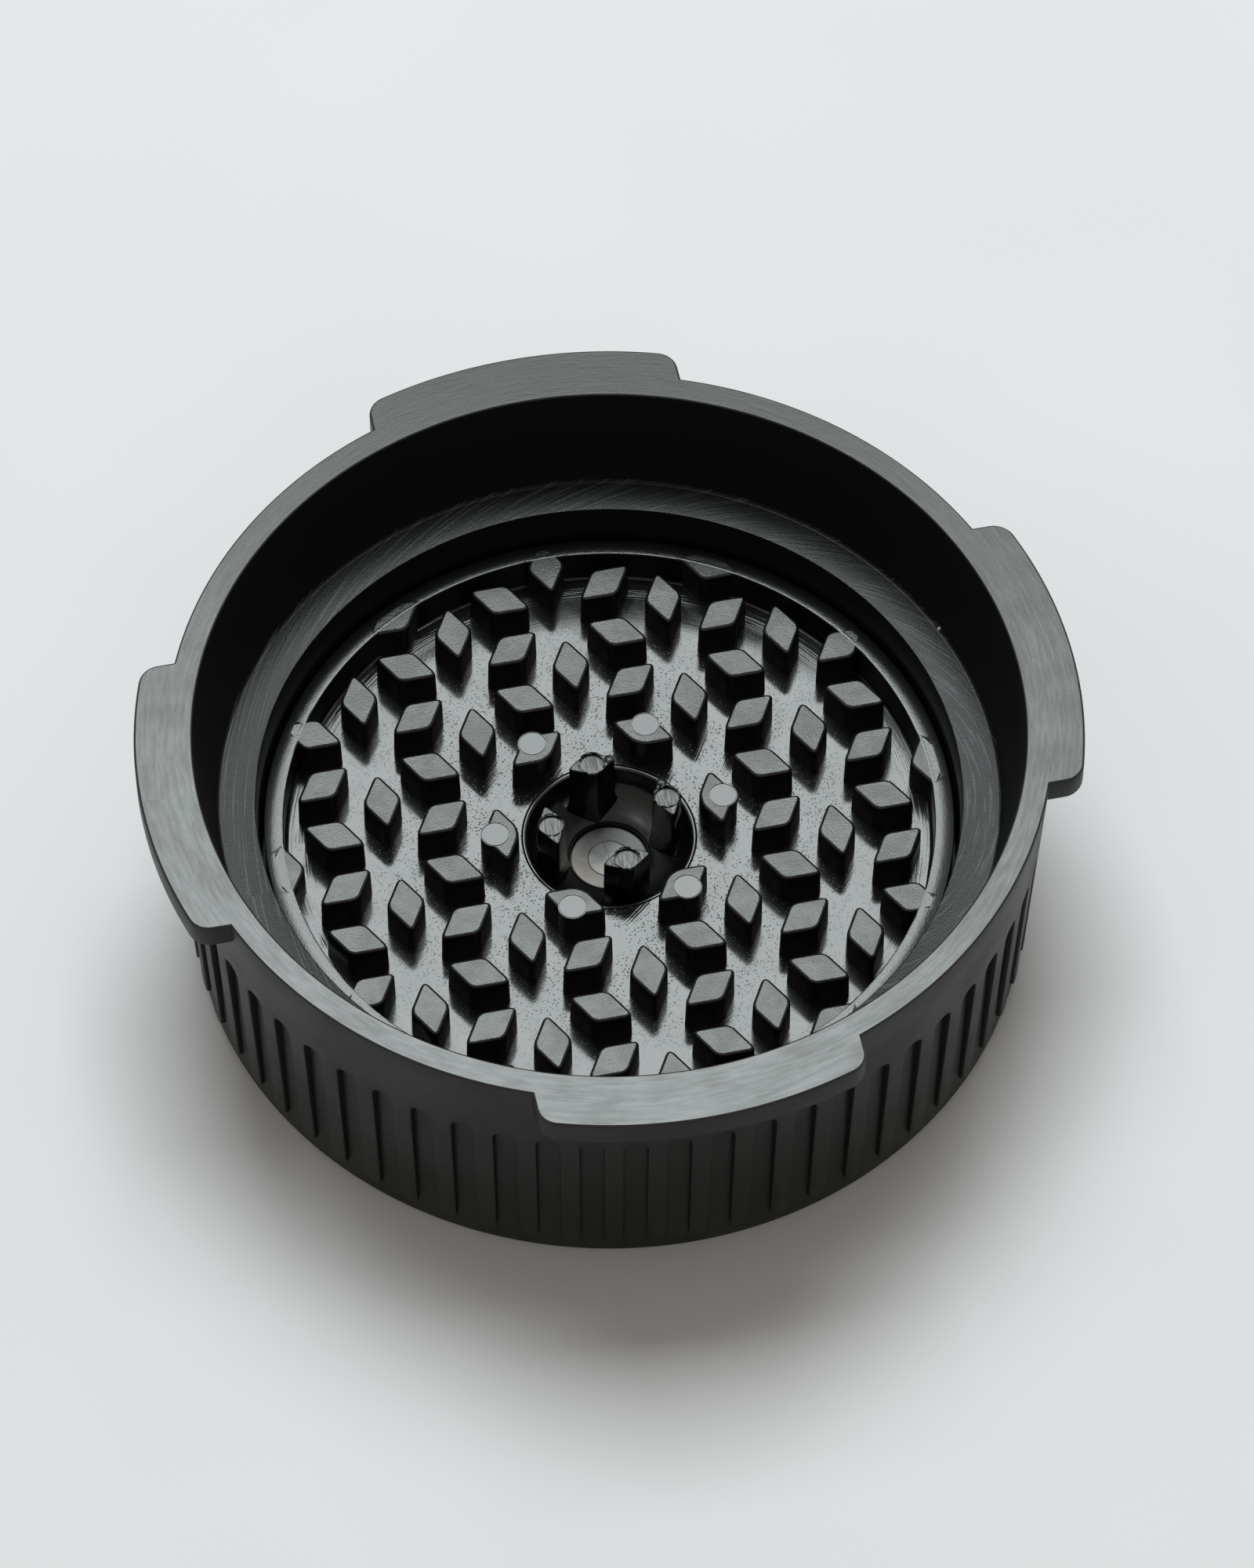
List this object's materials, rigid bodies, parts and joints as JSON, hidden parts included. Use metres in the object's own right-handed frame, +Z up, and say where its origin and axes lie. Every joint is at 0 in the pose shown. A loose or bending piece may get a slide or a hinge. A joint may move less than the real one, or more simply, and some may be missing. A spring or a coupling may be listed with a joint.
{
  "type": "bayonet filter cap",
  "caption": "Round black bayonet cap for a manual coffee press: ribbed shell with lugs, filter ledge, peg floor and a silicone slit valve in a central well.",
  "frame": {"origin": "middle of the underside, on the plane the cap stands on", "axes": "+Z up out of the open bore, away from the outlet; the bayonet lugs are centred on +X, +Y, -X and -Y"},
  "size_m": [0.0738, 0.0738, 0.0238],
  "materials": {
    "shell_plastic": "satin black with fine mould texture",
    "floor_plastic": "glossy black, grainy peg tops",
    "cover_plastic": "fine matt black",
    "silicone": "cloudy grey silicone"
  },
  "bodies": {
    "cap": {"cap_shell": "shell_plastic", "peg_floor": "floor_plastic", "floor_seal": "silicone", "valve_cup": "floor_plastic", "valve_flange": "silicone", "valve_retainer": "cover_plastic", "base_cover": "cover_plastic"},
    "petal_1": {"valve_petal_1": "silicone"},
    "petal_2": {"valve_petal_2": "silicone"},
    "petal_3": {"valve_petal_3": "silicone"},
    "petal_4": {"valve_petal_4": "silicone"}
  },
  "joints": [
    {"name": "petal_1_flex", "type": "hinge", "parent": "cap", "child": "petal_1", "pos_m": [0.00106, 0.00126, 0.0051], "axis": [0.766, -0.6428, 0], "range_deg": [0, 35], "stiffness_Nm_per_rad": 0.000002},
    {"name": "petal_2_flex", "type": "hinge", "parent": "cap", "child": "petal_2", "pos_m": [-0.00126, 0.00106, 0.0051], "axis": [0.6428, 0.766, 0], "range_deg": [0, 35], "stiffness_Nm_per_rad": 0.000002},
    {"name": "petal_3_flex", "type": "hinge", "parent": "cap", "child": "petal_3", "pos_m": [-0.00106, -0.00126, 0.0051], "axis": [-0.766, 0.6428, 0], "range_deg": [0, 35], "stiffness_Nm_per_rad": 0.000002},
    {"name": "petal_4_flex", "type": "hinge", "parent": "cap", "child": "petal_4", "pos_m": [0.00126, -0.00106, 0.0051], "axis": [-0.6428, -0.766, 0], "range_deg": [0, 35], "stiffness_Nm_per_rad": 0.000002}
  ],
  "couplings": [
    {"joint": "petal_2_flex", "follows": "petal_1_flex", "ratio": 1},
    {"joint": "petal_3_flex", "follows": "petal_1_flex", "ratio": 1},
    {"joint": "petal_4_flex", "follows": "petal_1_flex", "ratio": 1}
  ]
}
